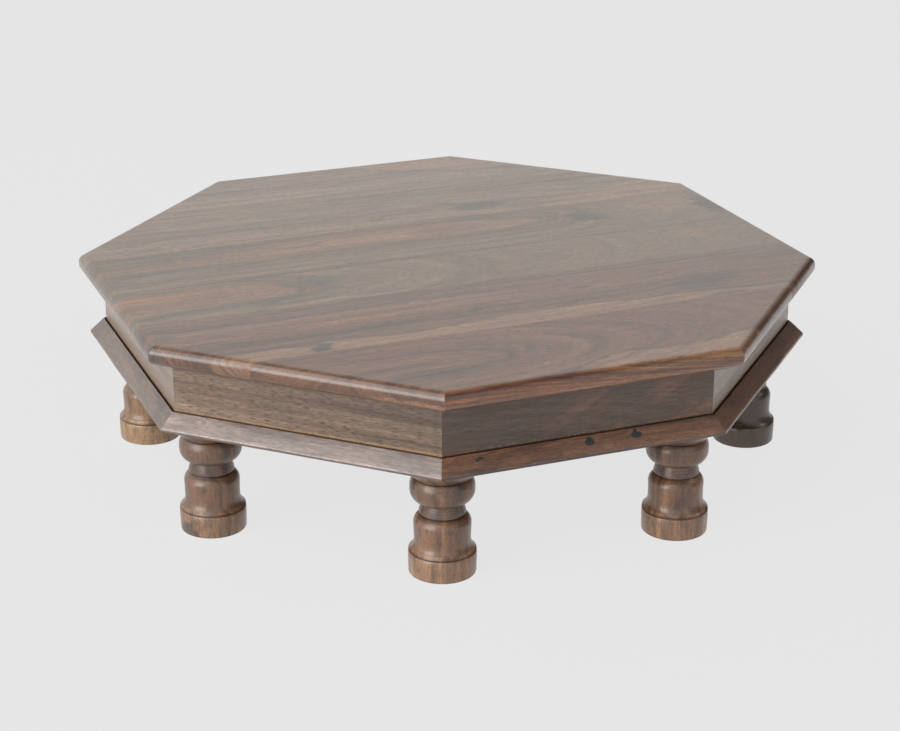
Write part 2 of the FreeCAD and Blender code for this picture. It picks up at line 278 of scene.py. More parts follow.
def make_rosewood():
    """Node group that turns a place and a growth value into colour and relief."""
    tree = bpy.data.node_groups.new("indian rosewood", "ShaderNodeTree")
    amounts = ("Growth", "Figure", "Lines", "Streaks", "Flecks", "Sway")
    kinds = {"Place": "Vector", **dict.fromkeys(("Pale", "Mid", "Deep"), "Color")}
    for name in (*kinds, *amounts):
        kind = "NodeSocket" + kinds.get(name, "Float")
        tree.interface.new_socket(name, in_out="INPUT", socket_type=kind)
    tree.interface.new_socket("Colour", in_out="OUTPUT", socket_type="NodeSocketColor")
    tree.interface.new_socket("Relief", in_out="OUTPUT", socket_type="NodeSocketFloat")
    given = tree.nodes.new("NodeGroupInput").outputs
    place = given["Place"]

    # The log grew a little crooked, so the growth lines sway along the board
    crook = drawn_noise(tree, place, (0.0045, 0.018, 0.018))
    crook = add(tree, "Math SUBTRACT", crook, 0.5)
    growth = add(tree, "Math MULTIPLY_ADD", crook, given["Sway"], given["Growth"])
    x, y, z = add(tree, "SeparateXYZ", place).node.outputs
    bent = add(tree, "CombineXYZ", x, growth, z)

    bands = drawn_noise(tree, bent, (1 / 420, 1 / 9, 1 / 300), Detail=3.0, Roughness=0.55)
    lines = drawn_noise(tree, bent, (1 / 240, 1 / 2.2, 1 / 90), Roughness=0.6)
    lines = add(tree, "MapRange", lines, 0.50, 0.72, **SMOOTH)
    # Thin dark lines lie where a season ended, like the height lines of a map
    seasons = drawn_noise(tree, bent, (1 / 500, 1 / 34, 1 / 300), Roughness=0.55)
    seasons = add(tree, "Math PINGPONG", seasons, 0.06)
    seasons = add(tree, "MapRange", seasons, 0.022, 0.006, **SMOOTH)
    lines = add(tree, "Math MAXIMUM", lines, seasons)

    # Streaks of fibre a few millimetres wide, single fibres, and open pores
    # follow the grain itself, whatever the growth lines do
    streaks = drawn_noise(tree, place, (1 / 22, 1 / 2.0, 1 / 2.0), Detail=4.0, Roughness=0.62)
    fibres = drawn_noise(tree, place, (1 / 14, 1 / 0.7, 1 / 0.7))
    pores = drawn_noise(tree, place, (1 / 7, 1 / 0.5, 1 / 0.5), Detail=1.0)
    pores = add(tree, "MapRange", pores, 0.47, 0.62, **SMOOTH)

    swing = add(tree, "Math SUBTRACT", bands, 0.5)
    bands = add(tree, "Math MULTIPLY_ADD", swing, given["Figure"], 0.5)
    to_mid = add(tree, "MapRange", bands, 0.28, 0.52, **SMOOTH)
    to_pale = add(tree, "MapRange", bands, 0.50, 0.76, **SMOOTH)
    colour = add(tree, "Mix", to_mid, given["Deep"], given["Mid"], **COLOURS)
    colour = add(tree, "Mix", to_pale, colour, given["Pale"], **COLOURS)

    lined = add(tree, "Math MULTIPLY", lines, given["Lines"])
    flecked = add(tree, "Math MULTIPLY", pores, given["Flecks"])
    streaky = add(tree, "Math SUBTRACT", streaks, 0.5)
    shade = add(tree, "Math MULTIPLY_ADD", streaky, given["Streaks"], 0.85)
    shade = add(tree, "Math MULTIPLY_ADD", fibres, 0.30, shade)
    for dark, depth in ((lined, -0.55), (flecked, -0.60)):
        kept = add(tree, "Math MULTIPLY_ADD", dark, depth, 1.0)
        shade = add(tree, "Math MULTIPLY", shade, kept)
    colour = add(tree, "VectorMath SCALE", colour, shade)
    relief = add(tree, "Math MULTIPLY_ADD", flecked, -1.0, fibres)

    result = tree.nodes.new("NodeGroupOutput")
    tree.links.new(colour, result.inputs["Colour"])
    tree.links.new(relief, result.inputs["Relief"])
    return tree


ROSEWOOD = make_rosewood()
print("rosewood recipe:", len(ROSEWOOD.nodes), "nodes")

# %% [markdown]
# ## Bending the figure
# Three small tools draw what no noise can: lines that close into an arch over
# the heart of the log, a knot that pushes them aside, and the edge of the
# sapwood, which is drawn along the plank with a few points.
# Stains then tint what lies inside: heartwood redder, sapwood paler, knots
# darker and greener. A stain lies where all its masks hold, and a mask is either
# a share from 0 to 1 or a value that fades from nothing to full between two
# others.

# %% Figure tools
def growth_value(tree, place, heart, close, lean=0.6):
    """Distance from the heart of the log; past it the lines close, and they lean with the depth."""
    local = add(tree, "VectorMath SUBTRACT", place, heart)
    x, y, z = add(tree, "SeparateXYZ", local).node.outputs
    beyond = add(tree, "Math MULTIPLY", x, close)
    beyond = add(tree, "Math MAXIMUM", beyond, 0.0)
    flat = add(tree, "CombineXYZ", beyond, y)
    distance = add(tree, "VectorMath LENGTH", flat)
    return add(tree, "Math MULTIPLY_ADD", z, lean, distance)


def knot_distance(tree, place, x, y, half_length, half_width, turned):
    """How far a place is from the middle of a knot shaped like an eye, with 1 at its rim."""
    turn, size = (0.0, 0.0, math.radians(turned)), (half_length, half_width, 1000.0)
    local = add(tree, "Mapping", place, (x, y, 0.0), turn, size, vector_type="TEXTURE")
    along, across, deep = add(tree, "SeparateXYZ", local).node.outputs
    aside = add(tree, "Math ABSOLUTE", across)
    return add(tree, "Math MULTIPLY_ADD", along, along, aside)


def height_over_line(tree, place, points):
    """Millimetres by which a place lies above a line drawn with points along the plank."""
    reach = 1.1 * TOP_APOTHEM
    x, y, z = add(tree, "SeparateXYZ", place).node.outputs
    share = add(tree, "MapRange", x, -reach, reach)
    line = add(tree, "FloatCurve", Value=share)
    drawn = line.node.mapping.curves[0].points
    while len(drawn) < len(points):
        drawn.new(0.5, 0.5)
    for spot, point in zip(drawn, points):
        spot.location = [0.5 + length / reach / 2 for length in point]
    line.node.mapping.update()
    line = add(tree, "MapRange", line, To_Min=-reach, To_Max=reach)
    return add(tree, "Math SUBTRACT", y, line)


# %% Stains and polish
WOOD_IOR = 1.5
POLISH_IOR = 1.6


def table_place(tree):
    """Place on the table, in millimetres."""
    metres = add(tree, "TexCoord", out="Object")
    return add(tree, "VectorMath SCALE", metres, 1 / MM)


def away(tree, value, middle):
    """How far a value lies from a middle one, to either side."""
    offset = add(tree, "Math SUBTRACT", value, middle)
    return add(tree, "Math ABSOLUTE", offset)


def where(tree, *masks):
    """Share in which all masks hold; each is a share, or (value, where empty, where full)."""
    share = None
    for mask in masks:
        if isinstance(mask, tuple):
            value, empty, full = mask
            mask = add(tree, "MapRange", value, empty, full, **SMOOTH)
        if share is not None:
            mask = add(tree, "Math MULTIPLY", share, mask)
        share = mask
    return share


def stain(tree, colour, tint, *masks):
    """Multiply a colour by a tint where the masks hold."""
    tinted = add(tree, "VectorMath MULTIPLY", colour, tint)
    return add(tree, "Mix", where(tree, *masks), colour, tinted, **COLOURS)


def rosewood(tree, place, growth, tones, **amounts):
    """Colour and relief of the wood; its tones are given from pale to deep."""
    amounts |= {name: linear(tone) for name, tone in zip(("Pale", "Mid", "Deep"), tones)}
    wood = add(tree, "Group", node_tree=ROSEWOOD, Place=place, Growth=growth, **amounts)
    return wood.node.outputs


def satin_polish(tree, colour, relief, coat=1.0, coat_roughness=0.36, roughness=(0.45, 0.60)):
    """Finish of oiled and polished wood: a rough, porous ground under a thin clear film."""
    dull = add(tree, "MapRange", relief, 0.7, 0.1, *roughness)
    film = {"Coat_Weight": coat, "Coat_Roughness": coat_roughness, "Coat_IOR": POLISH_IOR}
    close_material(tree, colour, dull, relief, 0.5, 0.08, IOR=WOOD_IOR, **film)


# %% [markdown]
# ## The six planks
# The planks were sawn from different logs, and that is what the eye sees first.
# The places of the knots, arches and sapwood edges below were read off the
# real top, in millimetres from its middle.

# %% Figure of each plank
DARK_KNOT = (0.42, 0.50, 0.52)
BLACK_KNOT = (0.22, 0.33, 0.35)
GREY_SHADE = (0.66, 0.80, 0.84)
MURKY_SHADE = (0.52, 0.68, 0.72)
SOFT_SHADE = (0.80, 0.88, 0.90)
RED_HEART = (1.12, 0.93, 0.80)
SAPWOOD = (1.60, 1.79, 1.82)
FAINT_SAPWOOD = (1.22, 1.26, 1.28)
TAN_HEART = (1.26, 1.10, 0.90)
GOLDEN_HEART = (1.30, 1.20, 1.08)

WARM = ("#916B50", "#79553E", "#5B3E2D")
GREY = ("#957C61", "#80664D", "#66513C")
PALE = ("#9A7D62", "#8A6D54", "#735943")

# heart and close: where the growth lines centre, and how fast they close past it
# calm: the figure weakens between two places along the plank, to this share
# lens: growth value up to which an arch is tinted
# ribs: place across the plank from which its cut ends show ribs
# pale_foot: place along the plank from which sapwood shows low on its edge
# knots: for each tint, the places, half lengths, half widths and angles
# line: points, side of the line that is tinted, tint
PLANK_FIGURES = {
    1: dict(
        tones=WARM, heart=(-115, -243), close=0.33, calm=(20, 120, 0.55), pale_foot=-160,
        knots={
            GREY_SHADE: [(-110, -262, 46, 12, -4), (-24, -238, 17, 5, 58)],
            SOFT_SHADE: [(22, -222, 14, 4, 66)],
        },
        line=([(-335, -330), (-60, -312), (-20, -303), (0, -291), (22, -281), (50, -275), (78, -279),
               (112, -277), (150, -268), (205, -256), (335, -240)], -1, SAPWOOD),
    ),
    2: dict(
        tones=WARM, heart=(0, -20), close=0.0, calm=(100, 300, 0.8), ribs=-158,
        knots={
            BLACK_KNOT: [(-178, -178, 13, 8, 48)],
            GREY_SHADE: [
                (-110, -151, 30, 9, 4), (-75, -95, 5, 10, 20), (-292, -112, 10, 13, 0),
                (150, -107, 10, 4, 0), (170, -88, 170, 2.5, 0),
            ],
            DARK_KNOT: [(-30, -142, 9, 5, 20), (75, -121, 13, 4, 0)],
            MURKY_SHADE: [(184, -146, 40, 20, 16)],
            TAN_HEART: [(-130, -126, 60, 4, -3), (130, -100, 150, 5, -2)],
            SOFT_SHADE: [(255, -176, 95, 9, 0)],
        },
        line=([(-335, -164), (-240, -166), (-205, -168), (-186, -173), (-163, -163), (-138, -168),
               (-100, -173), (-60, -169), (-20, -165), (60, -163), (110, -168), (160, -169),
               (210, -174), (335, -180)], -1, SAPWOOD),
    ),
    3: dict(
        tones=GREY, heart=(-220, -32), close=0.27, calm=(-120, 60, 0.5), lens=(31, RED_HEART),
        knots={
            GREY_SHADE: [(-130, -22, 34, 16, 8), (-210, -56, 90, 7, 2)],
            TAN_HEART: [(-275, -20, 50, 12, 0), (240, -22, 34, 12, 8)],
        },
        line=([(-335, -68), (-200, -68), (-100, -70), (-50, -73), (0, -79), (335, -90)], -1, FAINT_SAPWOOD),
    ),
    4: dict(
        tones=GREY, heart=(60, 71), close=0.24, calm=(160, 200, 0.45), lens=(29, RED_HEART),
        knots={
            DARK_KNOT: [(168, 57, 24, 15, -20), (292, 55, 13, 31, 0)],
            GREY_SHADE: [(-250, 84, 110, 19, 0), (-265, 50, 80, 8, 0), (95, 80, 70, 5, -14)],
            TAN_HEART: [(-40, 66, 70, 10, 0)],
            GOLDEN_HEART: [(250, 72, 44, 30, 0)],
        },
    ),
    5: dict(
        tones=PALE, heart=(0, 10), close=0.0, calm=(-300, 300, 1.1),
        knots={
            DARK_KNOT: [(86, 129, 32, 14, 4)],
            SOFT_SHADE: [(60, 186, 140, 7, 4), (-90, 150, 90, 9, -2), (230, 150, 60, 8, 3)],
            GOLDEN_HEART: [(245, 112, 110, 34, 0)],
        },
    ),
    6: dict(
        tones=PALE, heart=(0, 130), close=0.0, calm=(-300, 300, 1.1),
        knots={
            GREY_SHADE: [(165, 239, 24, 9, -12)],
            SOFT_SHADE: [(-120, 292, 60, 8, 0)],
        },
        line=([(-335, 340), (-60, 330), (20, 288), (60, 268), (100, 254), (140, 245), (175, 238),
               (210, 230), (335, 220)], 1, GOLDEN_HEART),
    ),
}
knot_count = sum(len(shapes) for figure in PLANK_FIGURES.values() for shapes in figure["knots"].values())
print(knot_count, "knots and shades on six planks")

# %% [markdown]
# ## The edge of the top
# The rounded edge cuts the planks at every angle. End grain drinks more oil, so
# the ends of the planks are darker and their ribs of late wood stand out, while
# the long edge, planed last, is golden. Hands have rubbed the corners.

# %% Stains of the edge
CUT_END = (0.84, 0.67, 0.50)
SIDE_END = (0.64, 0.68, 0.68)
PALE_END = (0.96, 1.12, 1.40)
OILED_CORNER = (0.74, 0.74, 0.76)
WORN_END = (2.8, 2.9, 2.8)
LONG_EDGE = (1.08, 0.77, 0.46)
RED_ARRIS = (0.62, 0.42, 0.31)
GOLDEN_ARRIS = (1.12, 1.38, 1.50)
DARK_RIB = (0.52, 0.48, 0.46)
PALE_FOOT = (1.25, 1.36, 1.50)
PALE_FOOT_END = (2.1, 2.4, 2.8)


def edge_masks(tree):
    """Shares of the rounded edge: all of it, where it follows the grain, and where it cuts it."""
    x, y, z = add(tree, "SeparateXYZ", add(tree, "TexCoord", out="Normal")).node.outputs
    edge = where(tree, (away(tree, z, 0.0), 0.97, 0.75))
    long_edge = where(tree, edge, (away(tree, x, 0.0), 0.45, 0.25))
    return edge, long_edge, add(tree, "Math SUBTRACT", edge, long_edge)


def stain_edge(tree, colour, place, long_edge, cut_end, sapwood):
    """Colours of the long edge and of the cut ends, which are paler where they cut sapwood."""
    x, y, z = add(tree, "SeparateXYZ", place).node.outputs
    side_end = where(tree, (away(tree, x, 0.0), TOP_APOTHEM - 12, TOP_APOTHEM - 8.5), cut_end)
    slant_end = add(tree, "Math SUBTRACT", cut_end, side_end)
    colour = stain(tree, colour, SIDE_END, side_end)
    colour = stain(tree, colour, CUT_END, slant_end)
    if sapwood is not None:
        colour = stain(tree, colour, PALE_END, slant_end, sapwood)
    wear_and_highlight = add(tree, "TexNoise", place, Scale=0.22, Detail=4.0, Roughness=0.75)
    colour = stain(tree, colour, WORN_END, (wear_and_highlight, 0.54, 0.66), slant_end, (x, 100, 160))
    colour = stain(tree, colour, OILED_CORNER, slant_end, (x, -175, -145))
    colour = stain(tree, colour, LONG_EDGE, long_edge)
    arris = where(tree, (z, TOP_HEIGHT - 7.5, TOP_HEIGHT - 4.5), long_edge)
    colour = stain(tree, colour, RED_ARRIS, arris, (x, 10, -60))
    colour = stain(tree, colour, GOLDEN_ARRIS, arris, (x, 10, 60))
    return colour, slant_end


# %% Finish of each plank
KNOT_RIMS = {BLACK_KNOT: 1.12, DARK_KNOT: 1.3}
SOFT_KNOT_RIM = 1.4
KNOT_PUSH = 0.4


def plank_finish(number, tones, heart, close, calm, knots, line=None, lens=None, ribs=None, pale_foot=None):
    """Polished rosewood with the figure of one plank."""
    material, tree = new_material(f"polished sheesham, plank {number}")
    place = table_place(tree)
    x, y, z = add(tree, "SeparateXYZ", place).node.outputs

    # Knots and sapwood edges are never smooth, so their place is jogged a little
    jog = drawn_noise(tree, place, (0.03, 0.16, 0.05), Detail=3.0).node.outputs["Color"]
    jog = add(tree, "VectorMath SUBTRACT", jog, (0.5, 0.5, 0.5))
    ragged = add(tree, "VectorMath MULTIPLY_ADD", jog, (22.0, 9.0, 7.0), place)
    ragged_x, ragged_y, ragged_z = add(tree, "SeparateXYZ", ragged).node.outputs

    growth = growth_value(tree, place, (*heart, TOP_HEIGHT), close, 0.8)
    distances = []
    for tint, shapes in knots.items():
        for shape in shapes:
            distance = knot_distance(tree, ragged, *shape)
            distances.append((distance, tint))
            push = where(tree, (distance, 2.6, 0.6))
            growth = add(tree, "Math MULTIPLY_ADD", push, KNOT_PUSH * shape[3], growth)

    # The growth lines stand out, and lie closer, where the edge runs along the
    # grain. On the face they fade away past the heart of the plank
    edge, long_edge, cut_end = edge_masks(tree)
    sunk = add(tree, "Math SUBTRACT", z, TOP_HEIGHT)
    sunk = add(tree, "Math MULTIPLY", sunk, long_edge)
    growth = add(tree, "Math MULTIPLY_ADD", sunk, 1.6, growth)
    start, end, calmed = calm
    figured = add(tree, "MapRange", x, start, end, 1.0, calmed)
    lined = add(tree, "Math MULTIPLY", figured, 0.45)
    lined = add(tree, "Math MAXIMUM", lined, long_edge)
    figured = add(tree, "Math MULTIPLY_ADD", long_edge, 0.9, figured)

    amounts = {"Figure": figured, "Lines": lined, "Streaks": 1.35, "Flecks": 0.7, "Sway": 10.0}
    colour, relief = rosewood(tree, place, growth, tones, **amounts)
    if lens:
        radius, tint = lens
        colour = stain(tree, colour, tint, (growth, radius + 1.5, radius - 2.5))
        rim = add(tree, "Math COMPARE", growth, radius, 3.5)
        colour = stain(tree, colour, SOFT_SHADE, rim)
    sapwood = None
    on_face = add(tree, "Math SUBTRACT", 1.0, long_edge)
    if line:
        points, side, tint = line
        height = height_over_line(tree, ragged, points)
        inside = where(tree, (height, -1.0 * side, 1.5 * side), on_face)
        colour = stain(tree, colour, tint, inside)
        colour = stain(tree, colour, SOFT_SHADE, (away(tree, height, -2.0 * side), 3.5, 0.5), on_face)
        if tint == SAPWOOD:
            sapwood = inside
    for distance, tint in distances:
        rim = KNOT_RIMS.get(tint, SOFT_KNOT_RIM)
        colour = stain(tree, colour, tint, (distance, rim, 1.7 - rim))

    colour, slant_end = stain_edge(tree, colour, place, long_edge, cut_end, sapwood)
    if ribs is not None:
        # Late and early wood of the cut end stand side by side, like ribs
        late = add(tree, "TexNoise", ragged_y, Scale=0.55, noise_dimensions="1D")
        colour = stain(tree, colour, DARK_RIB, (late, 0.44, 0.60), cut_end, (y, ribs - 8, ribs + 8))
    if pale_foot is not None:
        # The sapwood comes round from below and shows along the foot of the edge
        low = (ragged_z, TOP_HEIGHT - 9.5, TOP_HEIGHT - 12.0)
        foot = where(tree, low, (ragged_x, pale_foot - 12, pale_foot + 12))
        colour = stain(tree, colour, PALE_FOOT, foot)
        colour = stain(tree, colour, PALE_FOOT_END, foot, slant_end)
    rubbed_and_highlight = add(tree, "MapRange", edge, To_Min=0.36, To_Max=0.22)
    satin_polish(tree, colour, relief, coat_roughness=rubbed_and_highlight)
    return material


PLANK_FINISHES = {number: plank_finish(number, **figure) for number, figure in PLANK_FIGURES.items()}
for number, material in PLANK_FINISHES.items():
    print(material.name, len(material.node_tree.nodes), "nodes")

# %% [markdown]
# ## Boards, strips and legs
# These pieces lie at every angle, so each carries its own grain places, stored
# on its points when it is built: along the board, across it and into it. The
# same finish then fits them all, and a shift of the places takes every board
# from another part of the log.
# What time and work have left on each kind of piece is stained over the wood,
# at heights above the floor in millimetres, and so is painted light: painted shade in the gap over the
# strip, on its land, in grooves and high under the top, and painted highlights along arrises and above a
# groove.

# %% Marks of the apron boards
# Painted shade for the apron's foot where it sinks into the gap behind the strip
PAINTED_GAP_SHADE = (0.30, 0.26, 0.24)
BRANCH_LIGHT = (1.75, 1.50, 1.35)
BRANCH_RED = (1.12, 0.98, 0.90)
OLDER_WOOD = (0.80, 0.79, 0.78)


def table_height(tree):
    """Height above the floor, in millimetres."""
    return add(tree, "SeparateXYZ", table_place(tree), out="Z")


def raw_edge_and_gap_shade(bare_from, bare_to, bare_wood):
    """Stain for the bare line over the strip, and painted shade in the gap; the two noise values tell how
    broken the bare line is.
    """

    def draw_raw_edge_and_gap_shade(tree, place, colour):
        """Bare wood along the foot of an apron board, and painted shade in the gap under it."""
        height = table_height(tree)
        uneven = add(tree, "TexNoise", place, Scale=0.06, Detail=4.0, Roughness=0.7)
        low = add(tree, "Math MULTIPLY_ADD", uneven, -5.0, height)
        chips = add(tree, "TexNoise", place, Scale=0.5, Detail=5.0, Roughness=0.8)
        bare = where(tree, (low, STRIP_TOP - 0.2, STRIP_TOP - 0.8), (chips, bare_from, bare_to))
        colour = add(tree, "Mix", bare, colour, linear(bare_wood), **COLOURS)
        # Painted shade: the apron darkens at and below the top of the strip, inside the gap
        return stain(tree, colour, PAINTED_GAP_SHADE, (height, STRIP_TOP + 0.4, STRIP_TOP - 0.2))

    return draw_raw_edge_and_gap_shade


def branch_figure(tree, place, colour):
    """Clouds of lighter, redder wood that lie slantwise on a board cut near a branch."""
    turn, size = (0.0, 0.0, math.radians(38)), (60.0, 13.0, 40.0)
    slanted = add(tree, "Mapping", place, Rotation=turn, Scale=size, vector_type="TEXTURE")
    cloud = add(tree, "TexNoise", slanted, Scale=1.0)
    x = add(tree, "SeparateXYZ", place)
    colour = stain(tree, colour, BRANCH_LIGHT, (cloud, 0.48, 0.64), (x, 190, 240))
    patch = add(tree, "TexNoise", place, Scale=0.045)
    return stain(tree, colour, BRANCH_RED, (patch, 0.48, 0.62))


def darker_end(tree, place, colour):
    """The front left board crosses into older wood, so it darkens toward its right end."""
    return stain(tree, colour, OLDER_WOOD, (add(tree, "SeparateXYZ", place), 2440, 2590))


# %% Marks of the strips and legs
STRIP_LAND = 2.3
LAND_ARRIS = APRON_FOOT + STRIP_LAND + 0.2
CLOUD = (0.66, 0.67, 0.71)
# Painted shade for the narrow land under the bevel, and a painted highlight for the arrises
PAINTED_LAND_SHADE = (0.50, 0.46, 0.46)
PAINTED_ARRIS_HIGHLIGHT = (1.5, 1.6, 1.7)

FOOT_BAND_TOP = 19.3
NECK_HEIGHT = 56.0
# Height of the painted highlight ring on the flare above the foot groove
RING_HIGHLIGHT_HEIGHT = 21.6
RING_PITCH = 1.1
GROOVE_HEIGHTS = (19.7, 51.4, 84.2)
WET_PLACE = (-278.5, -115.5, 0.5)
# The foot band is paler wood, painted lighter still; the high turnings get painted shade, and neck and
# grooves dark polish with painted shade
FOOT_BAND_AND_PAINTED_LIGHT = (1.38, 1.52, 1.62)
GROOVE_POLISH_AND_SHADE = (0.42, 0.40, 0.40)
PAINTED_SHADE_ON_HIGH_TURNINGS = (0.78, 0.78, 0.79)
NECK_POLISH_AND_SHADE = (0.72, 0.72, 0.76)
TURNING_MARK = (0.58, 0.56, 0.56)
LEG_CLOUD = (0.56, 0.55, 0.60)
LEG_GLOW = (1.12, 1.06, 1.00)
# Painted highlight on the flare just above the foot groove
PAINTED_RING_HIGHLIGHT = (1.5, 1.6, 1.7)
WET_STAIN = (0.36, 0.37, 0.40)


def strip_marks(tree, place, colour):
    """Clouds of polish on a strip, a painted highlight along its arrises, and painted shade on the land at
    its foot.
    """
    height = table_height(tree)
    cloud = drawn_noise(tree, place, (0.035, 0.09, 0.09), Detail=4.0, Roughness=0.65)
    colour = stain(tree, colour, CLOUD, (cloud, 0.44, 0.66))
    # Painted shade on the land at the foot of the strip
    colour = stain(tree, colour, PAINTED_LAND_SHADE, (height, LAND_ARRIS - 0.1, LAND_ARRIS - 0.9))
    # A painted highlight along the arris over the land and along the top arris, broken by noise
    wear_and_highlight = add(tree, "TexNoise", place, Scale=0.25, Detail=3.0, Roughness=0.8)
    wear_and_highlight = where(tree, (wear_and_highlight, 0.38, 0.62))
    colour = stain(tree, colour, PAINTED_ARRIS_HIGHLIGHT, wear_and_highlight, (away(tree, height, LAND_ARRIS), 0.8, 0.2))
    return stain(tree, colour, PAINTED_ARRIS_HIGHLIGHT, wear_and_highlight, (height, STRIP_TOP - 1.0, STRIP_TOP - 0.3))


def leg_members(tree, place, colour):
    """The foot is barely polished and painted lighter, painted shade darkens the turnings under the top,
    dark polish and painted shade sit in neck and grooves, and the lathe leaves rings.
    """
    # Each leg's billet tint, which also holds painted shade on the right leg and painted light on the far
    # left one
    billet_tint_and_painted_light = add(tree, "Attribute", out="Vector", attribute_name="billet_tint_and_painted_light")
    colour = add(tree, "VectorMath MULTIPLY", colour, billet_tint_and_painted_light)
    height = table_height(tree)
    # The barely polished foot, painted lighter as if more light reached it
    colour = stain(tree, colour, FOOT_BAND_AND_PAINTED_LIGHT, (height, FOOT_BAND_TOP + 0.3, FOOT_BAND_TOP - 0.3))
    # Painted shade on the turnings high under the top
    colour = stain(tree, colour, PAINTED_SHADE_ON_HIGH_TURNINGS, (height, 44, 66))
    # Dark polish and painted shade in the hollow neck
    neck = where(tree, (away(tree, height, NECK_HEIGHT), 7.0, 3.0))
    colour = stain(tree, colour, NECK_POLISH_AND_SHADE, neck)
    rings = add(tree, "TexNoise", height, Scale=1 / RING_PITCH, Detail=1.0, noise_dimensions="1D")
    shown = add(tree, "MapRange", neck, To_Min=0.35, To_Max=1.0)
    colour = stain(tree, colour, TURNING_MARK, (rings, 0.48, 0.60), shown)
    # Dark polish and painted shade in the grooves
    for groove in GROOVE_HEIGHTS:
        colour = stain(tree, colour, GROOVE_POLISH_AND_SHADE, (away(tree, height, groove), 1.1, 0.5))

    cloud = drawn_noise(tree, place, (0.05, 0.09, 0.09), Detail=6.0, Roughness=0.75)
    colour = stain(tree, colour, LEG_CLOUD, (cloud, 0.50, 0.66))
    colour = stain(tree, colour, LEG_GLOW, (cloud, 0.48, 0.36))
    # A painted highlight ring on the flare just above the groove, broken by the clouds
    rubbed_and_highlight = (away(tree, height, RING_HIGHLIGHT_HEIGHT), 1.6, 0.4)
    colour = stain(tree, colour, PAINTED_RING_HIGHLIGHT, rubbed_and_highlight, (cloud, 0.58, 0.44))
    # One foot once stood in the wet
    wet = add(tree, "VectorMath DISTANCE", table_place(tree), WET_PLACE)
    wet = add(tree, "Math MULTIPLY_ADD", cloud, -20.0, wet)
    return stain(tree, colour, WET_STAIN, (wet, 3, -1))


# %% Finish of the boards, strips and legs
APRON_TONES = ("#A18973", "#876E5B", "#655040")
DARK_APRON_TONES = ("#6A5245", "#564338", "#42332A")
# Pale strip tones, painted paler still for the sheen of the left soft box on the front left bevel
PALE_STRIP_TONES_AND_SHEEN = ("#B9A395", "#9B8679", "#756257")
BROWN_STRIP_TONES = ("#877060", "#6B5648", "#503E34")
RED_STRIP_TONES = ("#946344", "#784D32", "#583822")
LEG_TONES = ("#9F7251", "#855D41", "#65452F")
THIN_POLISH = {"coat": 0.5}
LEG_POLISH = {"coat": 0.7, "coat_roughness": 0.26, "roughness": (0.44, 0.58)}
RAW_EDGE_AND_GAP_SHADE = raw_edge_and_gap_shade(0.36, 0.54, "#A08060")
DARK_RAW_EDGE_AND_GAP_SHADE = raw_edge_and_gap_shade(0.42, 0.66, "#7E664C")


def board_finish(name, tones, heart, stains, close=0.0, stretch=1.0, polish=None, **amounts):
    """Polished rosewood for a piece that carries its own grain places."""
    material, tree = new_material(name)
    stored = add(tree, "Attribute", out="Vector", attribute_name="grain")
    place = add(tree, "VectorMath MULTIPLY", stored, (1 / stretch, 1.0, 1.0))
    growth = growth_value(tree, place, (*heart, 0.0), close)
    amounts = {"Figure": 1.0, "Streaks": 1.0, "Sway": 16.0, **amounts}
    colour, relief = rosewood(tree, place, growth, tones, **amounts)
    for draw in stains:
        colour = draw(tree, place, colour)
    satin_polish(tree, colour, relief, **(polish or {}))
    print(name, len(tree.nodes), "nodes")
    return material


FLECKED_APRON = board_finish(
    "polished sheesham, flecked apron", APRON_TONES, (0, 200), [darker_end, RAW_EDGE_AND_GAP_SHADE],
    polish=THIN_POLISH, Flecks=1.0, Lines=0.4, Streaks=0.85,
)
DARK_APRON = board_finish(
    "polished sheesham, dark apron", DARK_APRON_TONES, (120, 40), [branch_figure, DARK_RAW_EDGE_AND_GAP_SHADE],
    close=0.25, stretch=1.4, polish=THIN_POLISH, Flecks=0.6, Lines=0.4,
)
FAR_APRON = board_finish(
    "polished sheesham, glossy apron", APRON_TONES, (0, 200), [RAW_EDGE_AND_GAP_SHADE],
    stretch=1.4, Flecks=0.5, Lines=0.4,
)
# The pale strip carries a painted sheen of the left soft box in its colour
PALE_STRIP_AND_SHEEN = board_finish(
    "polished sheesham, pale strip and painted sheen", PALE_STRIP_TONES_AND_SHEEN, (0, 90), [strip_marks],
    Flecks=0.6, Lines=0.35, Streaks=1.35,
)
BROWN_STRIP = board_finish(
    "polished sheesham, brown strip", BROWN_STRIP_TONES, (0, 40), [strip_marks],
    Flecks=0.5, Lines=0.5,
)
RED_STRIP = board_finish(
    "polished sheesham, red strip", RED_STRIP_TONES, (0, 60), [strip_marks],
    Flecks=0.9, Lines=0.6,
)
LEG_FINISH = board_finish(
    "turned sheesham", LEG_TONES, (0, 14), [leg_members],
    close=0.02, polish=LEG_POLISH, Flecks=0.6, Lines=0.45, Streaks=0.75,
)

# %% [markdown]
# ## Making a mesh
# Wood that is handled has no knife edges. Each section below is drawn with its
# sharp corners and then softened, and one function sweeps it along a side.
# At both ends the sweep follows the mitre by itself, because every point moves
# along the side in step with its distance from the middle of the table.

# %% Mesh helpers
def soften(outline, radii, steps=3):
    """Round the corners of an outline of (x, y) points, each by its own radius."""
    rounded = []
    for i, (corner, radius) in enumerate(zip(outline, radii)):
        here = Vector(corner)
        if not radius:
            rounded.append(here)
            continue
        before = here + (Vector(outline[i - 1]) - here).normalized() * radius
        after = here + (Vector(outline[(i + 1) % len(outline)]) - here).normalized() * radius
        for step in range(steps + 1):
            t = step / steps
            rounded.append(before * (1 - t) ** 2 + here * (2 * t * (1 - t)) + after * t * t)
    return rounded


def arc(centre, radius, start, end, steps):
    """Points of an arc in a section, between two angles in degrees."""
    angles = [math.radians(start + (end - start) * step / steps) for step in range(steps + 1)]
    return [(centre[0] + radius * math.cos(a), centre[1] + radius * math.sin(a)) for a in angles]


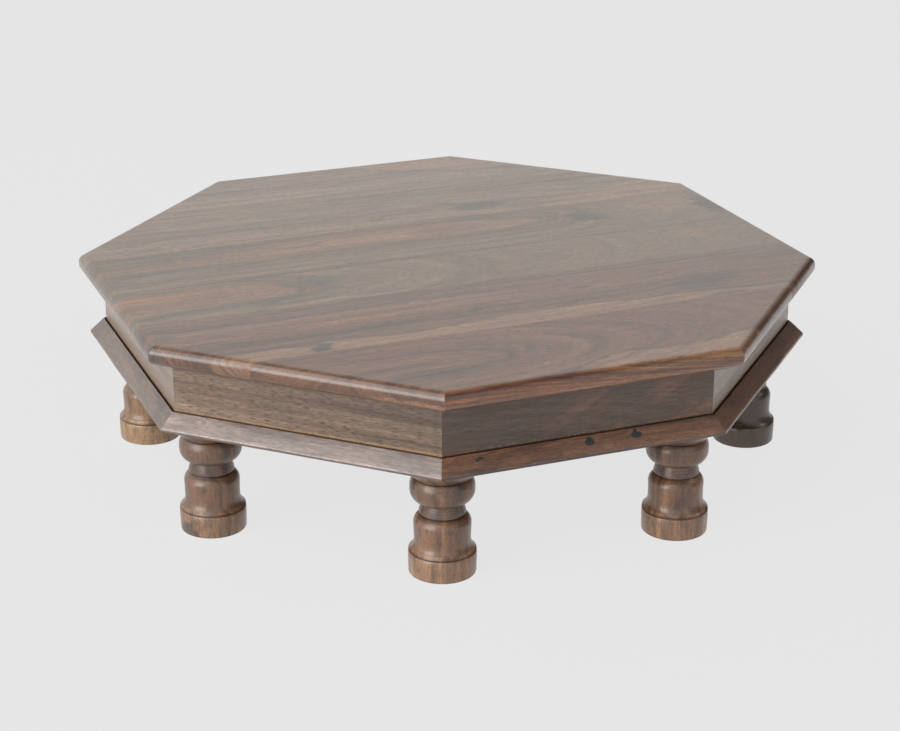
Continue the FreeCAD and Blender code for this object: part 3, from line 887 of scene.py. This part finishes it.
def skin(rings, count):
    """Faces over a row of closed rings with so many points each, and over both ends."""
    faces = [
        (r * count + n, r * count + (n + 1) % count, (r + 1) * count + (n + 1) % count, (r + 1) * count + n)
        for r in range(rings - 1)
        for n in range(count)
    ]
    last = (rings - 1) * count
    return faces + [tuple(reversed(range(count))), tuple(range(last, last + count))]


def finish_mesh(mesh, material, smooth_angle=40.0):
    """Turn a mesh into an object that rides on the table, shaded smooth except at sharp edges."""
    mesh.validate()
    mesh.shade_smooth()
    mesh.set_sharp_from_angle(angle=math.radians(smooth_angle))
    mesh.materials.append(material)
    piece = new_object(mesh)
    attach(piece, "root")
    return piece


def store(mesh, name, values, kind="VECTOR"):
    """Keep a vector or colour for each point of a mesh, for the finish to read."""
    stored = mesh.attributes.new(name, "FLOAT_" + kind, "POINT")
    stored.data.foreach_set(kind.lower(), [v for value in values for v in value])


# %% Sides of the octagon
BOARD_RISE = 37.0


def spoke(angle, radius=1.0):
    """Level line from an axis outward."""
    return Vector((math.cos(angle), math.sin(angle), 0)) * radius


def octagon_spoke(side, radius=1.0):
    """Level line from the middle of the table toward a side; side 1.5 is the corner after side 1."""
    return spoke(-math.pi / 2 + 2 * HALF_SIDE * (side - 1), radius)


def side_axes(side):
    """Direction in which a side of the octagon faces, and direction along it."""
    outward = octagon_spoke(side)
    return outward, Vector((-outward.y, outward.x, 0))


def sweep_side(name, section, side, shift, material, stations=60, wander=0.0):
    """Sweep a closed section of (distance from the middle, height) points along one side."""
    outward, along = side_axes(side)
    points, places = [], []
    for station in range(stations + 1):
        share = 2 * station / stations - 1
        for number, (reach, height) in enumerate(section):
            run = share * reach * math.tan(HALF_SIDE)
            seed = Vector((run * 0.035, number * 0.21, side * 7.3))
            slip = wander * noise.noise(seed) * min(1.0, 8 * (1 - abs(share)))
            points.append((outward * (reach + slip) + along * run + Vector((0, 0, height))) * MM)
            places.append((run + shift, height - APRON_FOOT + BOARD_RISE * side, reach - APRON_INNER))
    mesh = new_mesh(name, points, skin(stations + 1, len(section)))
    store(mesh, "grain", places)
    return finish_mesh(mesh, material)


# %% [markdown]
# ## The top
# The top is one octagonal board before it is six planks: the joiner glues the
# planks up, saws the octagon and rounds its edge in one pass. The mesh is made
# the same way. Rings of the octagon are stacked along the section of the edge,
# and the board is then cut at the joints. Each joint keeps a hair's breadth of
# softened edge, which shows as a fine line.

# %% Top planks
TOP_EDGE_ROUND = 7.5
TOP_LOWER_ROUND = 7.5
TOP_CORNER_ROUND = 1.6
TOP_CORNER_SHIFTS = {1: (3.0, 0.0), 2: (7.0, 0.0), 8: (-1.1, 1.1)}
JOINT_SOFTENING = 0.12


def true_corner(corner):
    """Plan place of a corner of the sawn octagon, with its small error."""
    place = octagon_spoke(corner - 0.5, TOP_APOTHEM / math.cos(HALF_SIDE)).to_2d()
    return place + Vector(TOP_CORNER_SHIFTS.get(corner, (0.0, 0.0)))


def side_line(side):
    """Outward direction of a side of the sawn octagon, and its distance from the middle."""
    start = true_corner(side)
    along = (true_corner(side % SIDES + 1) - start).normalized()
    outward = Vector((along.y, -along.x))
    return outward, outward.dot(start)


def octagon(outset, height, steps=4):
    """Outline of the sawn octagon at a height, drawn out by an outset, with softened corners."""
    points = []
    for side in range(1, SIDES + 1):
        (before, reach), (after, next_reach) = side_line(side), side_line(side % SIDES + 1)
        # The middle of the corner's round lies at its radius inside both sides
        inside = [reach + outset - TOP_CORNER_ROUND, next_reach + outset - TOP_CORNER_ROUND]
        middle = Matrix((before, after)).inverted() @ Vector(inside)
        for step in range(steps + 1):
            turn = Matrix.Rotation(before.angle_signed(after) * -step / steps, 2)
            spot = middle + turn @ before * TOP_CORNER_ROUND
            points.append(Vector((*spot, height)) * MM)
    return points


def top_board():
    """The whole octagonal board, as one closed bmesh."""
    low, high = TOP_UNDERSIDE + TOP_LOWER_ROUND, TOP_HEIGHT - TOP_EDGE_ROUND
    section = arc((-TOP_LOWER_ROUND, low), TOP_LOWER_ROUND, -90, 0, 12)
    section += arc((-TOP_EDGE_ROUND, high), TOP_EDGE_ROUND, 0, 90, 12)
    board = bmesh.new()
    points = [board.verts.new(p) for outset, height in section for p in octagon(outset, height)]
    for face in skin(len(section), len(points) // len(section)):
        board.faces.new([points[i] for i in face])
    return board


def cut_off(board, y, keep):
    """Cut a board at a joint line, close the cut and soften its edge; keep is +1 for the far side."""
    cut = bmesh.ops.bisect_plane(
        board,
        geom=board.verts[:] + board.edges[:] + board.faces[:],
        plane_co=(0, y * MM, 0),
        plane_no=(0, keep, 0),
        clear_inner=True,
    )
    edges = [piece for piece in cut["geom_cut"] if isinstance(piece, bmesh.types.BMEdge)]
    bmesh.ops.edgeloop_fill(board, edges=edges)
    bmesh.ops.bevel(board, geom=edges, offset=JOINT_SOFTENING * MM, segments=1, affect="EDGES")


for number, material in PLANK_FINISHES.items():
    node = f"top_plank_{number}"
    board = top_board()
    if number > 1:
        cut_off(board, low_corner(node).y, 1)
    if number < len(PLANK_FINISHES):
        cut_off(board, high_corner(node).y, -1)
    bmesh.ops.recalc_face_normals(board, faces=board.faces[:])
    mesh = bpy.data.meshes.new(f"plank_{number}")
    board.to_mesh(mesh)
    board.free()
    plank = finish_mesh(mesh, material, 30.0)
    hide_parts(node)
    print(plank.name, len(mesh.polygons), "faces")

# %% [markdown]
# ## The apron and its skirt strip
# The apron boards stand under the top, mitred at the corners with a small
# softening that catches a dark line. The strip round their foot is planed to a
# bevel and leans off the board at its top, so that a narrow gap is left.

# %% Apron boards and skirt strips
APRON_EDGE_ROUND = 0.6
STRIP_GAP = 2.0
STRIP_GAP_DEPTH = 5.0
STRIP_STATIONS = 90
STRIP_WANDER = 0.25
BOARD_SHIFT = 317.0

apron_section = soften(
    [
        (APRON_INNER, APRON_FOOT),
        (APRON_APOTHEM, APRON_FOOT),
        (APRON_APOTHEM, TOP_UNDERSIDE),
        (APRON_INNER, TOP_UNDERSIDE),
    ],
    [0.0, APRON_EDGE_ROUND, 0.0, 0.0],
)
strip_section = soften(
    [
        (APRON_APOTHEM, APRON_FOOT),
        (STRIP_APOTHEM, APRON_FOOT),
        (STRIP_APOTHEM, APRON_FOOT + STRIP_LAND),
        (APRON_APOTHEM + STRIP_GAP, STRIP_TOP),
        (APRON_APOTHEM, STRIP_TOP - STRIP_GAP_DEPTH),
    ],
    [0.0, 0.5, 0.9, 0.9, 0.0],
)
# Board and strip of each side, from the front right one round to the front left
SIDE_FINISHES = (
    (DARK_APRON, RED_STRIP),
    (FAR_APRON, RED_STRIP),
    (FLECKED_APRON, BROWN_STRIP),
    (DARK_APRON, RED_STRIP),
    (FLECKED_APRON, PALE_STRIP_AND_SHEEN),
    (DARK_APRON, RED_STRIP),
    (FAR_APRON, BROWN_STRIP),
    (FLECKED_APRON, PALE_STRIP_AND_SHEEN),
)
for side, (apron_finish, strip_finish) in enumerate(SIDE_FINISHES, 1):
    shift = BOARD_SHIFT * side
    board = sweep_side(f"apron_{side}", apron_section, side, shift, apron_finish)
    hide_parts(f"apron_board_{side}")
    strip = sweep_side(
        f"skirt_{side}", strip_section, side, -shift, strip_finish, STRIP_STATIONS, STRIP_WANDER
    )
    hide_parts(f"skirt_strip_{side}")
print("apron section", len(apron_section), "points; strip section", len(strip_section), "points")

# %% [markdown]
# ## The turned legs
# A leg is turned between centres, so it is one outline spun about its axis.
# The outline is drawn as the turner works: foot, groove, flare, body, shoulder,
# neck, bulb and collar, and the tenon on top. No two of the eight are quite
# alike: each is spun with its own small errors, from a billet of its own that is
# a little paler or darker. The tint of the right leg also holds painted shade, and that of the far left leg
# painted light.

# %% Turned legs
LEG_INSET = 35.0
LEG_CIRCLE = APRON_APOTHEM / math.cos(HALF_SIDE) - LEG_INSET
COLLAR_RADIUS = 31.0
TENON_RADIUS = 11.0
TENON_CHAMFER = 1.5
LEG_SEGMENTS = 96
BILLET_SHIFT = 400.0
# Tint of each leg's billet; leg 3, on the right, is much darker as painted shade, and leg 7, on the far
# left, paler as painted light
BILLET_TINTS_AND_PAINTED_LIGHT = {
    1: (1.00, 1.06, 1.10),
    2: (1.00, 1.02, 1.04),
    3: (0.26, 0.22, 0.17),
    4: (0.90, 0.90, 0.90),
    5: (1.10, 1.12, 1.10),
    6: (0.95, 0.98, 0.94),
    7: (1.20, 1.36, 1.28),
    8: (0.92, 0.97, 0.99),
}


def leg_outline(low, high, fat):
    """Outline of a leg as (radius, height) points; low, high and fat are the turner's errors."""
    foot = [(26.0, 0.0), *arc((26.3, 1.2), 1.2, -90, 0, 4), (27.6, 6.0), (27.8, 13.0)]
    groove = [(27.7, 18.6), (27.4, 19.1), (26.9, 19.5), (27.1, 20.0), (27.3, 20.4)]
    body = [*arc((35.0, 29.9), 12.1, 231, 180, 12), (23.1 + fat, 37.0)]
    shoulder = [*arc((14.4 + fat, 42.6), 9.0, 8, 59, 12), (18.5, 51.0), (17.9, 51.4), (18.6, 51.8)]
    neck = [(19.1, 52.3), (18.9, 54.0), (17.4, 59.0), (16.9, 61.2)]
    bulb = arc((15.4 + fat, 72.0), 10.8, -80, 0, 14) + arc((12.7 + fat, 75.0), 13.5, 0, 39, 12)
    collar = [(22.6, 83.9), (22.3, 84.2), (23.4, 84.5), (24.8, 84.9), (27.9, 88.6), (30.6, 92.0)]
    collar += [(COLLAR_RADIUS, 92.8), (COLLAR_RADIUS, LEG_HEIGHT)]
    tenon = [(TENON_RADIUS, LEG_HEIGHT), (TENON_RADIUS, TENON_TOP - TENON_CHAMFER)]
    tenon += [(TENON_RADIUS - TENON_CHAMFER, TENON_TOP)]
    return [
        *foot,
        *((radius, height + low) for radius, height in groove + body),
        *((radius, height + high) for radius, height in shoulder + neck + bulb),
        *collar,
        *tenon,
    ]


def turned_leg(number):
    """Spin one leg and set it under its corner."""
    draw = random.Random(number)
    outline = leg_outline(draw.uniform(-0.4, 0.4), draw.uniform(-0.4, 0.4), draw.uniform(-0.2, 0.2))
    grain_turn = draw.uniform(0, math.tau)
    centre = octagon_spoke(number - 0.5, LEG_CIRCLE)
    points, places = [], []
    for radius, height in outline:
        for step in range(LEG_SEGMENTS):
            angle = math.tau * step / LEG_SEGMENTS
            points.append((centre + spoke(angle, radius) + Vector((0, 0, height))) * MM)
            places.append((height + BILLET_SHIFT * number, *spoke(angle + grain_turn, radius).to_2d()))
    mesh = new_mesh(f"turned_leg_{number}", points, skin(len(outline), LEG_SEGMENTS))
    store(mesh, "grain", places)
    store(mesh, "billet_tint_and_painted_light", [BILLET_TINTS_AND_PAINTED_LIGHT[number]] * len(points))
    leg = finish_mesh(mesh, LEG_FINISH, 50.0)
    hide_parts(f"leg_{number}")
    print(leg.name, len(outline), "outline points")


for number in BILLET_TINTS_AND_PAINTED_LIGHT:
    turned_leg(number)

# %% [markdown]
# ## Filler over the nails
# The strips are nailed on, and the nail heads are hidden under wood filler that
# was pressed in with a thumb. On the front strip it has dried almost black and
# stands out as small lobed spots. Elsewhere it was mixed to match the wood.
# Each spot is a flat dome with a wavy rim, laid on the bevel of the strip.

# %% Nail fillers
NAIL_SHARES = (0.123, 0.522, 0.696)
NAIL_HEIGHT = APRON_FOOT + 10.2
FILLER_RISE = 0.25
FILLER_POINTS = 40
FILLER_COLOUR = "#6E4B38"
FILLER_COLOURS = {1: "#262E2C", 2: "#6A4C3D", 3: "#64503F", 5: "#8A776B", 7: "#857262", 8: "#8E7E75"}
# Rings of a spot, from under the wood to its crown: share of its width, rise
SPOT_RINGS = ((1.0, -0.6), (1.0, 0.02), (0.75, 0.7 * FILLER_RISE), (0.4, FILLER_RISE))
# Lobes of the three front spots: (along the strip, up the bevel, radius)
FRONT_SPOTS = (
    ((-1.9, -0.7, 1.5), (0.3, 0.6, 1.5), (2.2, 0.5, 1.2)),
    ((-1.4, -1.0, 2.6), (1.5, -0.9, 2.6), (0.1, 1.4, 2.4)),
    ((-2.3, -0.9, 2.3), (2.4, -0.8, 2.2), (0.1, -1.3, 2.5), (-0.4, 1.8, 1.7), (-0.3, 4.0, 1.0)),
)


def spot_outline(lobes):
    """Outline round a few overlapping lobes, as (along, up) points from their middle."""
    outline = []
    for step in range(FILLER_POINTS):
        angle = math.tau * step / FILLER_POINTS
        ray = Vector((math.cos(angle), math.sin(angle)))
        reach = 0.8
        for along, up, radius in lobes:
            centre = Vector((along, up))
            aside = abs(ray.x * centre.y - ray.y * centre.x)
            if aside < radius:
                reach = max(reach, ray.dot(centre) + math.sqrt(radius**2 - aside**2))
        outline.append(ray * reach)
    return outline


def random_lobes(draw):
    """Three lobes pressed in by a thumb."""
    return [(draw.uniform(-1.2, 1.2), draw.uniform(-0.8, 0.8), draw.uniform(2.0, 2.6)) for _ in range(3)]


def nail_fillers():
    """All twenty-four spots of filler, as one mesh."""
    draw = random.Random(8)
    foot = Vector((STRIP_APOTHEM, APRON_FOOT + STRIP_LAND))
    up_bevel = (Vector((APRON_APOTHEM + STRIP_GAP, STRIP_TOP)) - foot).normalized()
    spot_place = foot + up_bevel * ((NAIL_HEIGHT - foot.y) / up_bevel.y)
    points, faces, colours = [], [], []
    for side in range(1, SIDES + 1):
        outward, along = side_axes(side)
        up = outward * up_bevel.x + Vector((0, 0, up_bevel.y))
        normal = along.cross(up).normalized()
        shade = linear(FILLER_COLOURS.get(side, FILLER_COLOUR))
        for number, share in enumerate(NAIL_SHARES):
            outline = spot_outline(FRONT_SPOTS[number] if side == 1 else random_lobes(draw))
            run = (share - 0.5) * 2 * APRON_APOTHEM * math.tan(HALF_SIDE)
            middle = outward * spot_place.x + along * run + Vector((0, 0, spot_place.y))
            start = len(points)
            for size, rise in SPOT_RINGS:
                for spot in outline:
                    points.append((middle + (along * spot.x + up * spot.y) * size + normal * rise) * MM)
                    colours.append(shade)
            for face in skin(len(SPOT_RINGS), FILLER_POINTS):
                faces.append([start + i for i in face])
    mesh = new_mesh("filler_spots", points, faces)
    store(mesh, "filler_colour", colours, "COLOR")
    return mesh


material, tree = new_material("dried wood filler")
grit = add(tree, "TexNoise", table_place(tree), Scale=1.4, Detail=4.0, Roughness=0.7)
shade = add(tree, "MapRange", grit, 0.3, 0.7, 0.75, 1.2)
mixed = add(tree, "Attribute", out="Color", attribute_name="filler_colour")
colour = add(tree, "VectorMath SCALE", mixed, shade)
close_material(tree, colour, 0.7, grit, 0.6, 0.3, IOR=WOOD_IOR)

spots = finish_mesh(nail_fillers(), material)
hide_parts("nail_fillers")
print("filler spots:", len(spots.data.polygons), "faces")

# %% [markdown]
# ## The pieces inside
# Blocks, battens and pins are never seen from above, so the workshop leaves them
# as they come from the saw: dry, fuzzy and paler than the polished wood, with the
# marks of the saw across them. The screws are zinc-plated steel, which is bluish
# and half bright, and the nails are drawn steel wire, darker and smoother.
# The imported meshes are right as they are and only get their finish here.

# %% Finish of the inner pieces
def sawn_wood(name, pale, deep, along, saw_axis):
    """Bare wood from the saw, grain along one axis and saw marks across another."""
    material, tree = new_material(name)
    place = table_place(tree)
    stretch = [0.35, 0.35, 0.35]
    stretch[along] = 0.02
    grain = drawn_noise(tree, place, stretch, Detail=5.0, Roughness=0.6)
    saw = [0.05, 0.05, 0.05]
    saw[saw_axis] = 0.7
    marks = drawn_noise(tree, place, saw)
    tone = add(tree, "MapRange", grain, 0.30, 0.70)
    colour = add(tree, "Mix", tone, linear(deep), linear(pale), **COLOURS)
    dirt = add(tree, "MapRange", marks, 0.35, 0.65, 0.86, 1.06)
    colour = add(tree, "VectorMath SCALE", colour, dirt)
    height = add(tree, "Math ADD", grain, marks)
    rough = add(tree, "MapRange", grain, To_Min=0.72, To_Max=0.88)
    close_material(tree, colour, rough, height, 0.5, 0.25, IOR=WOOD_IOR)
    return material


def plain_steel(name, pale, dull, grain_mm, roughness):
    """Steel with a fine, uneven surface."""
    material, tree = new_material(name)
    spangle = add(tree, "TexNoise", table_place(tree), Scale=1 / grain_mm, Detail=3.0)
    colour = add(tree, "Mix", spangle, linear(dull), linear(pale), **COLOURS)
    rough = add(tree, "MapRange", spangle, To_Min=roughness, To_Max=roughness + 0.2)
    close_material(tree, colour, rough, spangle, 0.3, 0.04, Metallic=1.0)
    return material


X_AXIS, Y_AXIS, Z_AXIS = range(3)
UPRIGHT_WOOD = sawn_wood("sawn sheesham, upright grain", "#8E6F58", "#5E4536", Z_AXIS, X_AXIS)
BATTEN_WOOD = sawn_wood("sawn sheesham batten", "#977862", "#67503F", Y_AXIS, X_AXIS)
PIN_WOOD = sawn_wood("split wood pin", "#B08D68", "#86684A", X_AXIS, Z_AXIS)
ZINC_STEEL = plain_steel("zinc-plated steel", "#C4C8CC", "#8F9498", 0.9, 0.32)
NAIL_STEEL = plain_steel("drawn steel wire", "#8D8882", "#5C5752", 0.5, 0.35)

# The beginnings of node names; a longer one that also fits comes later and wins
INNER_FINISHES = {
    "corner_block": UPRIGHT_WOOD,
    "glue_block": UPRIGHT_WOOD,
    "batten_": BATTEN_WOOD,
    "leg_pins": PIN_WOOD,
    "corner_screws": ZINC_STEEL,
    "top_screws": ZINC_STEEL,
    "batten_screws": ZINC_STEEL,
    "skirt_nails": NAIL_STEEL,
}
inner_nodes = [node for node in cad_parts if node.startswith(tuple(INNER_FINISHES))]
for node in inner_nodes:
    for beginning, material in INNER_FINISHES.items():
        if node.startswith(beginning):
            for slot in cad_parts[node].material_slots:
                slot.material = material
print("inner finishes given to", len(inner_nodes), "nodes")
